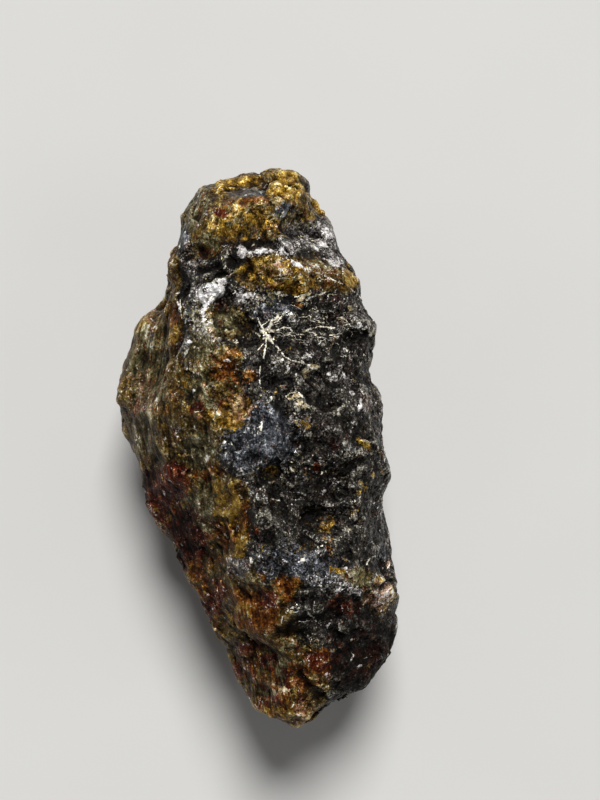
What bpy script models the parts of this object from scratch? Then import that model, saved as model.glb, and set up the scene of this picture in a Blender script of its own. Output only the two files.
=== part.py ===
"""A chalcopyrite specimen: one massive lump of brassy copper ore, lying on its flatter back.

The stone lies along Y, its narrow head at +Y and its broken show face up. The origin is the middle
of its box, on the surface it rests on. Lengths are in millimetres until the mesh is scaled by MM.
"""

import math
import random

import bmesh
import bpy
import numpy as np
from mathutils import Vector, noise

MM = 0.001

# Driving dimensions of the whole stone
LENGTH = 151.0
WIDTH = 76.5
FOOT_LIFT = 2.2

# How finely the stone is worked and kept
STATIONS = 150
SPOKES = 120
WORK_VOXEL = 1.7
KEPT_TRIANGLES = 8200

# Roundness of a plain section, and how crisply the fracture faces meet
SECTION_POWER = 2.5
CREASE_POWER = 13.0

# The stone's right and left edges seen from above, as (y, x), from the foot end to the head
RIGHT_EDGE = (
    (-75.5, 13.2), (-74.3, 15.8), (-71.9, 18.2), (-70.4, 20.6), (-67.0, 27.2), (-62.4, 32.3),
    (-55.7, 36.1), (-48.9, 38.2), (-42.2, 38.3), (-34.1, 37.7), (-21.9, 35.8), (-13.5, 34.1),
    (-11.8, 34.3), (-10.9, 36.0), (-7.8, 36.2), (0.5, 35.2), (2.4, 33.9), (12.7, 33.1),
    (16.5, 32.0), (18.6, 30.7), (21.9, 29.8), (25.1, 29.8), (29.2, 31.5), (32.2, 31.2),
    (39.7, 29.3), (45.7, 27.7), (48.6, 25.5), (54.1, 21.2), (57.0, 20.1), (60.3, 19.6),
    (63.2, 18.5), (67.6, 14.7), (68.4, 13.9), (69.7, 14.5), (71.1, 13.4), (73.2, 10.7),
    (74.6, 9.1), (75.5, 6.2),
)
LEFT_EDGE = (
    (-75.5, 12.4), (-75.1, 10.9), (-73.8, 9.4), (-73.0, 5.0), (-71.4, 1.8), (-69.5, -0.9),
    (-64.3, -3.6), (-57.3, -7.7), (-50.8, -11.2), (-41.4, -16.6), (-33.5, -20.9), (-24.6, -26.6),
    (-16.5, -30.4), (-4.9, -33.6), (5.1, -36.9), (10.5, -38.0), (14.6, -38.2), (20.0, -37.7),
    (28.6, -35.0), (31.9, -33.6), (37.8, -28.5), (40.0, -26.6), (46.5, -24.7), (50.3, -23.4),
    (53.0, -22.0), (58.1, -20.9), (61.9, -20.4), (64.6, -19.3), (66.8, -17.7), (70.0, -13.4),
    (71.9, -8.5), (72.6, -6.0), (72.9, -1.2), (74.6, 2.3), (75.5, 5.4),
)

# How much of the edges' detail the big form leaves out, and how thick the worked edge is
EDGE_EASE = 3.5
END_EASE = 0.3
EDGE_BAND = 0.9
EDGE_DEPTH = 8.0
EDGE_PASSES = 3
EDGE_BLEND = (0.06, 0.24, 0.4, 0.24, 0.06)

# Height of the show face's crest and of the back, as (y, z)
CREST = (
    (-75.5, 27.0), (-73.5, 35.0), (-70.0, 40.0), (-62.0, 46.0), (-52.0, 50.5), (-38.0, 54.5),
    (-20.0, 58.0), (0.0, 60.0), (22.0, 60.5), (36.0, 59.0), (47.0, 57.0), (56.0, 53.5),
    (63.0, 50.5), (68.0, 46.5), (71.5, 41.0), (74.0, 36.0), (75.5, 30.0),
)
BACK = (
    (-75.5, 25.0), (-73.5, 18.0), (-69.0, 11.0), (-60.0, 4.5), (-48.0, 0.0), (-34.0, -2.4),
    (-12.0, -3.2), (10.0, -3.2), (26.0, -2.0), (38.0, 1.0), (50.0, 5.5), (60.0, 10.5),
    (67.0, 15.0), (72.0, 21.0), (75.5, 28.0),
)

# The big fracture faces, each a plane through a point with its outward normal
FACES = {
    "show_face": ((8, 0, 58.5), (0.13, 0.00, 1.00)),
    "show_face_left": ((-12, 5, 57.5), (-0.28, -0.02, 0.96)),
    "upper_flank": ((-29, 18, 41), (-0.75, 0.04, 0.64)),
    "lower_flank": ((-21, -22, 43), (-0.68, -0.22, 0.69)),
    "foot_flank": ((-3, -55, 37), (-0.70, -0.36, 0.62)),
    "head_front": ((-2, 64, 49.5), (-0.10, 0.40, 0.91)),
    "head_crown": ((-2, 71, 37), (-0.12, 0.93, 0.34)),
    "right_shoulder": ((23, 47, 46), (0.66, 0.34, 0.67)),
    "right_wall": ((34, 0, 41), (0.88, 0.02, 0.47)),
    "foot_right": ((29, -57, 40), (0.52, -0.50, 0.69)),
    "foot_front": ((5, -66, 42.5), (-0.08, -0.55, 0.83)),
    "back_left": ((-28, 6, 11), (-0.66, 0.10, -0.74)),
    "back_left_foot": ((-17, -34, 11), (-0.62, -0.38, -0.69)),
    "back_right": ((28, -8, 8), (0.60, -0.06, -0.80)),
    "back_right_head": ((21, 40, 13), (0.62, 0.34, -0.71)),
    "back_head": ((-4, 58, 9), (-0.14, 0.52, -0.84)),
    "back_foot": ((14, -58, 4), (0.16, -0.50, -0.85)),
    "back_foot_right": ((30, -50, 13), (0.66, -0.34, -0.67)),
}

# Steps where a slab has broken away: the line of the step as (x, y), the side that drops,
# the drop, and how far the drop takes to climb back
LEDGES = {
    "under_head": (((-19.5, 49.5), (-11.5, 54.6), (-4.0, 57.0), (9.0, 58.6), (21.0, 57.4)), "right", 3.2, 5.0),
    "gold_shelf": (((-8.0, 39.6), (0.0, 40.4), (7.0, 40.8), (19.0, 42.6), (29.5, 39.2)), "right", 1.3, 10.0),
    "flank_ridge": (((-18.6, 45.0), (-18.0, 36.0), (-18.2, 27.0), (-23.5, 20.5)), "right", 3.4, 16.0),
    "scoop": (((6.6, -46.4), (10.4, -42.6), (16.4, -42.4), (21.4, -47.0)), "right", 2.6, 7.5),
    "foot_lobe": (((-3.0, -49.8), (3.4, -52.2), (9.0, -56.4), (18.0, -65.0)), "right", 2.4, 8.0),
    "right_shelf": (((17.5, -40.8), (25.0, -38.6), (32.0, -37.8), (38.5, -41.0)), "right", 1.8, 10.0),
    "crown_saddle": (((-8.5, 71.6), (0.4, 71.4), (5.0, 68.6), (14.0, 67.8)), "right", 1.4, 3.2),
    "terrace": (((2.0, -4.0), (11.0, -6.5), (22.0, -4.0), (35.0, 1.5)), "right", 0.9, 12.0),
    "back_slab": (((-30.0, 44.0), (-12.0, 37.0), (6.0, 41.0), (12.0, 52.0)), "left", 1.6, 12.0),
    "back_break": (((-12.0, -52.0), (2.0, -44.0), (14.0, -47.0), (34.0, -36.0)), "right", 1.8, 12.0),
}
UNDERSIDE = ("back_slab", "back_break")
LEDGE_EDGE = 1.5
LEDGE_END_FADE = 5.0
LEDGE_WAVE = 6.5
LEDGE_SWAY = 2.2

# Rounded lumps (+) and hollows (-) as (x, y, facing up or down, radius, height)
SWELLS = {
    "crown_knob": (7.5, 71.0, 1, 7.0, 1.6),
    "gold_bulge": (6.0, 47.0, 1, 9.0, 2.0),
    "head_brow": (-4.0, 61.5, 1, 9.0, 1.2),
    "flank_belly": (-30.0, 8.0, 1, 12.0, 1.4),
    "black_hollow": (13.5, -12.5, 1, 6.0, -2.0),
    "steel_swell": (2.0, 3.0, 1, 9.0, 1.0),
    "right_lobe": (31.0, -3.0, 1, 7.0, 1.5),
    "waist": (27.0, 23.0, 1, 7.0, -1.8),
    "foot_knot": (7.0, -66.0, 1, 7.0, 1.6),
    "rust_knot": (16.0, -56.0, 1, 6.0, 1.2),
    "foot_nub": (14.0, -73.0, 1, 4.0, 1.0),
    "back_swell_left": (-20.0, 14.0, -1, 11.0, 1.6),
    "back_hollow_right": (22.0, 14.0, -1, 9.0, -1.8),
    "back_hollow_foot": (2.0, -50.0, -1, 8.0, -1.5),
}

# Natural unevenness: wavelength and height of each roll of the surface
ROLLS = ((26.0, 1.2), (11.0, 0.7), (5.5, 0.4))

# Flat chips knocked off all over: how many, their reach, their depth, and how far they lean
BIG_CHIPS = (80, (10.0, 16.0), (0.4, 1.1), 0.09)
SMALL_CHIPS = (
    (240, (5.0, 8.0), (0.1, 0.42), 0.12),
    (420, (3.0, 4.6), (0.1, 0.32), 0.22),
)
CHIP_EDGE = 0.35
CHIP_SEED = 41


def clear_scene():
    for old in list(bpy.data.objects):
        bpy.data.objects.remove(old)


def along(profile, y):
    """The value of a (y, value) profile at y."""
    return np.interp(y, [p[0] for p in profile], [p[1] for p in profile])


def eased(profile, y):
    """The profile's mean over a few millimetres either side of y, for the big form."""
    reach = min(EDGE_EASE, END_EASE * (LENGTH / 2 - abs(y)))
    return float(np.mean(along(profile, y + np.linspace(-reach, reach, 9))))


def ring(y):
    """One section of the stone at y: a plain rounded section cut back by the fracture faces."""
    left, right = eased(LEFT_EDGE, y), eased(RIGHT_EDGE, y)
    crest, back = along(CREST, y), along(BACK, y)
    middle = np.array([(left + right) / 2, y, (crest + back) / 2])
    half_width, half_height = (right - left) / 2, (crest - back) / 2
    angle = np.linspace(0, 2 * math.pi, SPOKES, endpoint=False)
    ray = np.stack([np.cos(angle), np.zeros(SPOKES), np.sin(angle)], 1)
    plain = (
        np.abs(ray[:, 0] / half_width) ** SECTION_POWER + np.abs(ray[:, 2] / half_height) ** SECTION_POWER
    ) ** (1 / SECTION_POWER)
    nearness = plain**CREASE_POWER
    for point, normal in FACES.values():
        normal = np.array(normal) / np.linalg.norm(normal)
        reach = max(float((np.array(point) - middle) @ normal), 0.5)
        nearness += np.clip(ray @ normal / reach, 0, None) ** CREASE_POWER
    points = middle + ray / nearness[:, None] ** (1 / CREASE_POWER)
    return points


def rough_body():
    """The stone's big form as a closed mesh of sections, closed by a point at each end."""
    turn = np.linspace(0, math.pi, STATIONS)
    stations = -np.cos(turn) * (LENGTH / 2 - 0.25)
    bm = bmesh.new()
    rings = [[bm.verts.new(p) for p in ring(y)] for y in stations]
    for a, b in zip(rings, rings[1:]):
        for i in range(SPOKES):
            j = (i + 1) % SPOKES
            bm.faces.new((a[i], b[i], b[j], a[j]))
    for end, outward in ((rings[0], 1), (rings[-1], -1)):
        tip = bm.verts.new(sum((v.co for v in end), Vector()) / SPOKES)
        for i in range(SPOKES):
            j = (i + 1) % SPOKES
            bm.faces.new((tip, end[i], end[j]) if outward == 1 else (tip, end[j], end[i]))
    bmesh.ops.recalc_face_normals(bm, faces=bm.faces)
    mesh = bpy.data.meshes.new("chalcopyrite_specimen")
    bm.to_mesh(mesh)
    bm.free()
    return mesh


def with_modifier(obj, kind, **settings):
    """Replaces the object's mesh by what one modifier makes of it."""
    modifier = obj.modifiers.new(kind.lower(), kind)
    for name, value in settings.items():
        setattr(modifier, name, value)
    bpy.context.view_layer.update()
    evaluated = obj.evaluated_get(bpy.context.evaluated_depsgraph_get())
    made = bpy.data.meshes.new_from_object(evaluated)
    obj.modifiers.clear()
    obj.data = made


def read(mesh):
    """The mesh's vertices and their normals as arrays."""
    points = np.zeros(len(mesh.vertices) * 3)
    mesh.vertices.foreach_get("co", points)
    normals = np.zeros(len(mesh.vertices) * 3)
    mesh.vertex_normals.foreach_get("vector", normals)
    return points.reshape(-1, 3), normals.reshape(-1, 3)


def write(mesh, points):
    mesh.vertices.foreach_set("co", points.ravel())
    mesh.update()


def work(mesh, tool, *settings):
    """Reshapes the mesh by one of the tools below, which take its points and their normals."""
    write(mesh, tool(*read(mesh), *settings))


def smooth_step(low, high, value):
    t = np.clip((value - low) / (high - low), 0, 1)
    return t * t * (3 - 2 * t)


def wander(points):
    """Where the points lie in plan once the ledges' lines waver as broken rock does."""
    sway = [noise.noise_vector(Vector((x, y, 0.0)) / LEDGE_WAVE).to_2d() for x, y, _ in points]
    return points[:, :2] + np.array(sway) * LEDGE_SWAY


def ledge_drop(plan, line, side, drop, climb):
    """How far each point sinks beside one ledge: at once past its line, then less and less."""
    line = np.array(line)
    best = np.full(len(plan), np.inf)
    signed = np.full(len(plan), np.inf)
    fade = np.zeros(len(plan))
    for start, end in zip(line, line[1:]):
        run = end - start
        size = np.linalg.norm(run)
        offset = plan - start
        t = offset @ run / size**2
        foot = start + np.clip(t, 0, 1)[:, None] * run
        gap = np.linalg.norm(plan - foot, axis=1)
        across = (offset[:, 0] * run[1] - offset[:, 1] * run[0]) / size
        nearer = gap < best
        best = np.where(nearer, gap, best)
        signed = np.where(nearer, np.where(across > 0, gap, -gap), signed)
        past_end = np.clip(np.maximum(-t, t - 1), 0, None) * size
        fade = np.where(nearer, past_end, fade)
    if side == "left":
        signed = -signed
    edge = smooth_step(-LEDGE_EDGE / 2, LEDGE_EDGE / 2, signed)
    return drop * edge * np.exp(-np.clip(signed, 0, None) / climb) * np.exp(-fade / LEDGE_END_FADE)


def carve_ledges(points, normals):
    """Sinks each point by the deepest of the ledges that reach it."""
    sunk = np.zeros(len(points))
    plan = wander(points)
    for name, (line, side, drop, climb) in LEDGES.items():
        down = name in UNDERSIDE
        faces_it = smooth_step(-0.15, 0.45, -normals[:, 2] if down else normals[:, 2])
        sunk = np.maximum(sunk, ledge_drop(plan, line, side, drop, climb) * faces_it)
    return points - normals * sunk[:, None]


def raise_swells(points, normals):
    rise = np.zeros(len(points))
    for x, y, facing, radius, height in SWELLS.values():
        away = np.hypot(points[:, 0] - x, points[:, 1] - y) / radius
        rise += height * np.exp(-(away**2)) * smooth_step(0.0, 0.4, facing * normals[:, 2])
    return points + normals * rise[:, None]


def roll_surface(points, normals):
    rise = np.zeros(len(points))
    for turn, (wavelength, height) in enumerate(ROLLS):
        shift = Vector((17.0 * turn, 31.0, 5.0 * turn))
        rise += [height * noise.noise(Vector(p) / wavelength + shift) for p in points]
    return points + normals * rise[:, None]


def chip(points, normals, draw, count, reach, depth, lean):
    """Planes off count small flats: whatever stands above each flat's plane comes down to it."""
    for _ in range(count):
        at = draw.randrange(len(points))
        tilt = np.array([draw.uniform(-lean, lean) for _ in range(3)])
        normal = normals[at] + tilt
        normal /= np.linalg.norm(normal)
        plane_point = points[at] - normal * draw.uniform(*depth)
        offset = points - plane_point
        nearness = 1 - np.linalg.norm(offset, axis=1) / draw.uniform(*reach)
        above = np.clip(offset @ normal, 0, None) * smooth_step(0.0, CHIP_EDGE, nearness)
        points = points - normal * above[:, None]
    return points


def blended(values):
    """The values, each mixed with its neighbours on either side."""
    padded = np.pad(values, len(EDGE_BLEND) // 2, mode="edge")
    return np.convolve(padded, EDGE_BLEND, mode="valid")


def fit_edges(points, _normals):
    """Draws the stone's left and right edges back to their lines after the surface is worked."""
    centre = (along(LEFT_EDGE, points[:, 1]) + along(RIGHT_EDGE, points[:, 1])) / 2
    levels = np.arange(-LENGTH / 2 + 1.5, LENGTH / 2 - 1.4, 1.0)
    for side, edge in ((1, RIGHT_EDGE), (-1, LEFT_EDGE)):
        stretch, height = [], []
        for level in levels:
            band = points[np.abs(points[:, 1] - level) < EDGE_BAND]
            middle = (along(LEFT_EDGE, level) + along(RIGHT_EDGE, level)) / 2
            widest = np.argmax(side * band[:, 0])
            wanted = np.max(side * along(edge, band[:, 1]))
            stretch.append((side * wanted - middle) / (band[widest, 0] - middle))
            height.append(band[widest, 2])
        stretch, height = blended(stretch), blended(height)
        away = (points[:, 2] - np.interp(points[:, 1], levels, height)) / EDGE_DEPTH
        share = np.clip(np.interp(points[:, 1], levels, stretch), 0.75, 1.4)
        share = 1 + (share - 1) * np.exp(-(away**2))
        on_side = side * (points[:, 0] - centre) > 0
        points[:, 0] = np.where(on_side, centre + (points[:, 0] - centre) * share, points[:, 0])
    return points


def set_down(points):
    """Brings the stone to its size and origin, with the lowest part of its back planed flat."""
    low, high = points.min(0), points.max(0)
    points[:, 0] = (points[:, 0] - (low[0] + high[0]) / 2) * WIDTH / (high[0] - low[0])
    points[:, 1] = (points[:, 1] - (low[1] + high[1]) / 2) * LENGTH / (high[1] - low[1])
    points[:, 2] = np.maximum(points[:, 2] - low[2] - FOOT_LIFT, 0.0)
    return points * MM


def ore_material():
    material = bpy.data.materials.new("tarnished_chalcopyrite")
    material.use_nodes = True
    surface = material.node_tree.nodes["Principled BSDF"]
    surface.inputs["Base Color"].default_value = (0.16, 0.12, 0.06, 1.0)
    surface.inputs["Metallic"].default_value = 0.6
    surface.inputs["Roughness"].default_value = 0.45
    return material


def make_specimen():
    stone = bpy.data.objects.new("chalcopyrite_specimen", rough_body())
    bpy.context.scene.collection.objects.link(stone)
    with_modifier(stone, "REMESH", mode="VOXEL", voxel_size=WORK_VOXEL)
    draw = random.Random(CHIP_SEED)
    work(stone.data, raise_swells)
    work(stone.data, roll_surface)
    work(stone.data, chip, draw, *BIG_CHIPS)
    work(stone.data, carve_ledges)
    for chips in SMALL_CHIPS:
        work(stone.data, chip, draw, *chips)
    for _ in range(EDGE_PASSES):
        work(stone.data, fit_edges)
    triangles = sum(len(face.vertices) - 2 for face in stone.data.polygons)
    with_modifier(stone, "DECIMATE", ratio=KEPT_TRIANGLES / triangles)
    points, _ = read(stone.data)
    write(stone.data, set_down(points))
    stone.data.materials.clear()
    stone.data.materials.append(ore_material())
    return stone


def main():
    clear_scene()
    make_specimen()


main()
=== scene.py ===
"""Looks of a chalcopyrite specimen that lies show face up on a plain pale floor.

The stone's surface is worked from the frame's own solid: it is remeshed finely, broken into blocks,
facets and grains, and striated where the real stone is. Then each point learns which minerals lie
there, and one material turns those shares into single grains of ore, quartz, rust and tarnish,
with painted shade in the hollows and in the shadowed soot patches, and painted glints and highlights
among the pale specks and lines.
Lengths are in millimetres until the mesh is written.
"""

import math
import random

import bmesh
import bpy
import numpy as np
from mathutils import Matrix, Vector, kdtree, noise
from mathutils.bvhtree import BVHTree


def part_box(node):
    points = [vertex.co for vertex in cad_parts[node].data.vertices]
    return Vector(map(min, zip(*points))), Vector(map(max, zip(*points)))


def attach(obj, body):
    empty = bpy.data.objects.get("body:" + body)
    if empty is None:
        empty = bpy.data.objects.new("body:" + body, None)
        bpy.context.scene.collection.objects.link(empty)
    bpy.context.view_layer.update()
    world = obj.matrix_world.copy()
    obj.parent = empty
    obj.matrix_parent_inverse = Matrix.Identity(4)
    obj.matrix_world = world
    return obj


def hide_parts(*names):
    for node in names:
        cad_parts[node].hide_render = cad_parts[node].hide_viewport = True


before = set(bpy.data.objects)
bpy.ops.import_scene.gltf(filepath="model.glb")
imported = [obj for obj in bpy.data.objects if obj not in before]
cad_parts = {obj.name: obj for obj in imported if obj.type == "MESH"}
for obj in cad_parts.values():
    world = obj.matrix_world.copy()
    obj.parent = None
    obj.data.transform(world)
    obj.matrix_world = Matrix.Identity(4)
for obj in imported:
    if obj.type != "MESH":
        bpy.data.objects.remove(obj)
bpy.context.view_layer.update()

MM = 0.001
NODE = "chalcopyrite_specimen"

# The camera looks straight down: its lens, its height and the point under it, and the photo's frame
LENS = 60.0
SENSOR = 36.0
FRAME_WIDTH, FRAME_HEIGHT = 600, 800
CAMERA_AT = (11.5, 13.2, 390.0)
FOCAL_PIXELS = LENS / SENSOR * FRAME_HEIGHT
PIXELS_PER_MM = 3.7

# How finely the surface is worked and kept
WORK_VOXEL = 0.43
SMOOTHING = 0.5
SMOOTH_ROUNDS = 7
KEPT_TRIANGLES = 176000
CLOSEST = 0.01

# The surface's area in square mm, which sets how many broken faces it has, and where their draws start
STONE_AREA = 27500.0
SEED = 7

# Unevenness of the surface: wavelength and height of each roll
ROLLS = ((9.0, 0.30), (4.2, 0.20), (2.0, 0.12))

# Broken faces: spacing, lean and doming of each size, from blocks down to single grains
BLOCKS = (7.0, 0.14, 0.08)
FACETS = (2.7, 0.17, 0.10)
GRAINS = (1.15, 0.24, 0.18)
PEBBLES = (2.2, 0.12, 0.55)
NEAREST = 6

# How far a broken face lies off its level, in spacings, and what striated or polished ore loses of it
LIFT = 0.10
CALMED = 0.6

# Quartz: the share where it stands up and is whole, its rise, and its knobs' height, wavelength and
# seed
KNOBS_FROM = (0.4, 0.8)
KNOB_RISE = 0.15
KNOB_ROLL = (0.6, 1.3, 8)

# How many rounds of averaging give the level that hollows and crests are measured from
HOLLOW_ROUNDS = 14

# Striation: width, weight and seed of the coarse and the fine striae, their depth, and how little
# they change along the grain and with height
STRIAE = ((1.5, 1.0, 3), (1.5 / 2.2, 0.5, 4))
STRIA_DEPTH = 0.42
STRIA_STRETCH = (0.13, 0.5)

# The bend of the grain, where it is straight, where it starts to bend fully and over what width
GRAIN_BEND = 0.0065
GRAIN_MIDDLE = 12.0
BEND_FROM = 10.0
BEND_WIDTH = 40.0
LEAST_BEND = 0.15

# Stirs of the patches and the relief: amount, wavelength and seed
PATCH_STIRS = ((1.5, 6.0, 1), (0.7, 2.2, 2))
RELIEF_STIRS = ((1.2, 5.0, 5),)

# How deep a patch reaches: the part of its larger radius, what is added in mm, and the steepest slope
REACH_OF_RADIUS = 0.6
REACH_ADDED = 4.0
STEEPEST = 0.35

# Where the surface counts as hidden: how far it faces down, and how low it lies
HIDDEN_FACING = (0.15, -0.3)
HIDDEN_HEIGHT = (34.0, 24.0)
HIDDEN_SEED = 20

# The brassy side's edge: its softness in mm, and the height, wavelength and seed of each roll in it
EDGE_SOFTNESS = 2.4
EDGE_ROLLS = ((3.0, 6.5, 11), (2.0, 2.6, 12))
HIDDEN_EDGE_ROLL = (30.0, 26.0, 9)

# Where the brassy side of the stone ends and the dark side begins, as photo pixels (down, across)
BRASSY_EDGE = (
    (150, 150), (236, 174), (300, 182), (335, 190), (350, 236), (395, 250), (430, 236), (445, 222),
    (468, 226), (488, 248), (550, 246), (585, 262), (600, 292), (640, 300), (660, 336), (682, 336),
    (704, 322), (735, 322),
)

# Patches of each mineral or tarnish, where the camera sees them: the middle's photo pixel (across,
# down), the two radii in pixels, the share of the grains, and the turn in degrees where there is one.
# The black soot patches are partly black ore and partly painted shade and shadow; the white frost
# specks and the patches named glint are partly pale grains and partly painted glints
PATCHES = {}
PATCHES["brassy"] = {
    "head": (252, 206, 78, 38, 1.2),
    "band": (296, 273, 64, 20, 1.25, -9),
    "head_low": (226, 232, 38, 12, 1.1),
    "band_left": (252, 272, 17, 16, 1.2),
    "foot": (285, 690, 46, 40, 1.0),
    "right_bronze": (380, 596, 22, 20, 0.9),
    "mottled": (222, 322, 34, 24, 0.78),
    "crown": (286, 180, 34, 20, 1.2),
    "rim": (238, 183, 30, 12, 1.2, 8),
    "head_shoulder": (192, 206, 18, 26, 2.0),
    "head_right": (316, 210, 16, 20, 1.0, 30),
    "head_left_low": (202, 246, 18, 14, 1.4),
    "right_olive": (355, 577, 19, 9, 0.9),
    "low_mid": (286, 588, 15, 17, 1.0),
    "left_mid": (181, 452, 15, 16, 0.8),
}
PATCHES["quartz"] = {
    "big": (213, 290, 19, 10, 1.16, 36),
    "big_top": (221, 283, 8, 6, 1.05),
    "big_left": (202, 299, 8, 7, 1.15),
    "big_tail": (205, 310, 5, 9, 0.78),
    "upper": (239, 250, 6, 5, 1.25),
    "thread": (260, 249, 14, 2.2, 0.9),
    "middle": (246, 297, 10, 4, 0.95, 25),
    "pink_left": (284, 248, 9, 4, 0.7, -20),
    "pink_right": (308, 238, 6, 4, 0.8, 30),
    "pink_far": (322, 246, 9, 4, 0.75, -20),
    "pink_edge": (333, 262, 12, 3.5, 1.0, -14),
    "pink_streak": (296, 261, 11, 3, 1.1, -38),
    # These small pale grains sit where glints show: partly quartz, partly painted glints
    "eye": (303, 357, 3.5, 2.5, 1.1),
    "eye_right": (311, 356, 2.5, 2.5, 1.0),
    "glint_high": (337, 366, 2.5, 2.5, 0.9),
    "glint": (334, 382, 3.6, 3.6, 1.5),
    "glint_trail": (345, 378, 3.5, 3, 1.2),
    "glint_far": (330, 374, 3, 2.5, 1.2),
    "dot": (352, 392, 2.4, 2.4, 1.4),
    "splinter": (360, 406, 2.2, 8, 1.4, -12),
    "rim_pale": (361, 326, 3, 4, 0.9),
    "low": (356, 592, 7, 4, 1.0, -45),
    "low_left": (338, 591, 4, 3, 0.9),
    "ridge_dot": (188, 341, 3, 3, 1.2),
    "flank_dot": (193, 392, 1.8, 3.5, 1.2),
    # A pale line along the ridge's edge: painted highlight
    "ridge_highlight": (181, 306, 2, 7, 0.8),
    # Pale grains where glints show: partly quartz, partly painted glints
    "saddle_glint": (259, 191, 3, 2, 0.9),
    "foot_glint": (357, 664, 3, 3, 0.9),
}
PATCHES["cream"] = {
    "under_head": (270, 234, 3.5, 3, 1.2),
    "blob": (315, 368, 6, 4, 1.3, -8),
    "low_blob": (303, 403, 9, 3, 0.75, -28),
    "low_blob_left": (291, 395, 8, 3, 0.75, 8),
    "top": (303, 296, 8, 2.5, 0.8, 12),
    "rim": (351, 308, 6, 3, 0.7, -25),
    "foot": (283, 691, 5, 3, 0.7),
    "head_fleck": (238, 212, 1.6, 7, 0.55, 5),
    "bright": (206, 453, 8, 8, 0.36),
    "yellow_trail": (308, 376, 9, 5, 0.62, -35),
    "gold_mid": (238, 410, 15, 13, 0.3),
}
PATCHES["gold"] = {
    "crown": (286, 183, 25, 13, 1.15, -8),
    "crown_right": (304, 191, 8, 8, 1.0),
    "rim": (238, 181, 25, 7, 1.3, 8),
    "rim_pebble": (220, 191, 5, 5, 1.1),
    "crown_strip": (297, 200, 15, 4, 0.6, -12),
    "head_vein": (238, 208, 4, 15, 0.6, 5),
    "head_spot": (308, 218, 8, 4, 0.75, 10),
    "coral": (279, 226, 8, 5, 0.6),
    "head_right": (314, 210, 16, 18, 0.8, 30),
    "head_front": (230, 226, 42, 14, 0.58),
    "band_left": (251, 269, 12, 13, 0.82, -50),
    "band_top": (262, 258, 9, 4, 0.7, -10),
    "band": (281, 271, 36, 13, 0.72, -12),
    "band_low": (290, 289, 24, 6, 0.8, 5),
    "right": (352, 278, 8, 17, 0.85, 24),
    "flank_top": (139, 328, 6, 10, 0.6, -30),
    "flank": (175, 334, 4, 9, 0.6),
    "lens": (183, 377, 4, 10, 0.65),
    "middle": (234, 413, 17, 14, 0.92, 20),
    "middle_right": (246, 407, 6, 11, 0.9),
    "low_top": (222, 490, 15, 10, 0.45),
    "low": (230, 508, 15, 20, 1.0, -20),
    "low_tail": (240, 542, 7, 16, 0.8),
    "chip": (365, 446, 10, 4, 1.2, -38),
    # Bright gold where a glint shows: partly painted glint
    "olive_glint": (273, 473, 9, 7, 0.7),
    "pink_chip": (327, 524, 8, 8, 1.05, -30),
    "right_low": (336, 571, 7, 6, 0.85, -20),
    "right_line": (370, 475, 19, 5, 0.3),
    "right_vein": (363, 490, 6, 9, 0.35, 30),
    "edge": (367, 362, 4, 7, 0.6),
    "chunk": (376, 578, 10, 6, 0.5, -30),
    "foot": (268, 711, 12, 6, 0.4),
    "specks": (303, 420, 9, 10, 0.62),
    "orange_low": (240, 612, 14, 22, 0.3),
}
PATCHES["rust"] = {
    "head": (245, 202, 24, 5, 0.5, 4),
    "coral": (279, 225, 6, 4, 0.7),
    "head_foot": (207, 252, 6, 5, 0.7),
    "red_dot": (202, 267, 4, 3, 0.8),
    "band": (271, 287, 7, 7, 0.55),
    "band_right": (325, 272, 20, 6, 0.45, -15),
    "by_quartz": (221, 305, 6, 5, 0.7),
    "lens": (299, 305, 5, 3, 0.9),
    "flank": (174, 316, 5, 10, 0.65),
    "middle": (226, 366, 17, 20, 0.42),
    "ring": (233, 354, 8, 6, 0.62),
    "ring_low": (250, 376, 7, 7, 0.7),
    "by_gold": (226, 402, 7, 6, 0.6),
    "patch": (212, 476, 13, 7, 0.6),
    "centre": (308, 473, 4, 4, 0.7),
    "edge": (242, 540, 6, 14, 0.6),
    "orange": (250, 612, 28, 25, 0.85),
    "low": (264, 576, 8, 6, 0.6),
    "low_right": (288, 598, 11, 9, 0.75),
    "foot": (321, 661, 17, 12, 0.95, -10),
    "left_low": (168, 505, 20, 40, 0.42, -25),
    "left_lower": (200, 570, 16, 34, 0.4, -25),
    "foot_dot": (286, 686, 5, 5, 0.6),
    "foot_all": (285, 690, 40, 36, 0.32),
    "right_bronze": (378, 588, 18, 22, 0.4),
    "tail": (329, 540, 4, 9, 0.5),
    "gold_low": (233, 520, 16, 30, 0.72, -15),
    "left_foot": (213, 604, 10, 26, 0.6, -22),
    "low_mid": (288, 584, 10, 10, 0.75),
}
PATCHES["wine"] = {
    "head_left": (220, 211, 6, 5, 0.6),
    "head": (257, 203, 7, 4, 0.6),
    "flank": (136, 411, 8, 14, 0.45),
    "middle": (198, 409, 9, 11, 0.5),
    "left_low": (162, 492, 22, 34, 0.9, -20),
    "left_lower": (182, 540, 24, 34, 0.9, -25),
    "left_foot": (206, 612, 13, 40, 0.8, -28),
    "foot_left": (246, 668, 14, 26, 0.45, -30),
    "by_gold": (253, 505, 8, 9, 0.45),
    "by_gold_low": (253, 532, 8, 6, 0.75),
    "purple": (266, 600, 11, 8, 0.7),
    "right": (342, 608, 16, 11, 0.62),
    "foot": (254, 651, 20, 10, 0.65, -10),
    "foot_red": (268, 669, 4, 5, 0.8),
    "foot_red_low": (298, 697, 5, 4, 0.8),
    "centre": (321, 468, 5, 4, 0.7),
    "right_dark": (358, 656, 36, 40, 0.42),
    "foot_rust": (321, 661, 18, 12, 0.7, -10),
    "foot_all": (278, 684, 36, 30, 0.32),
}
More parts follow.
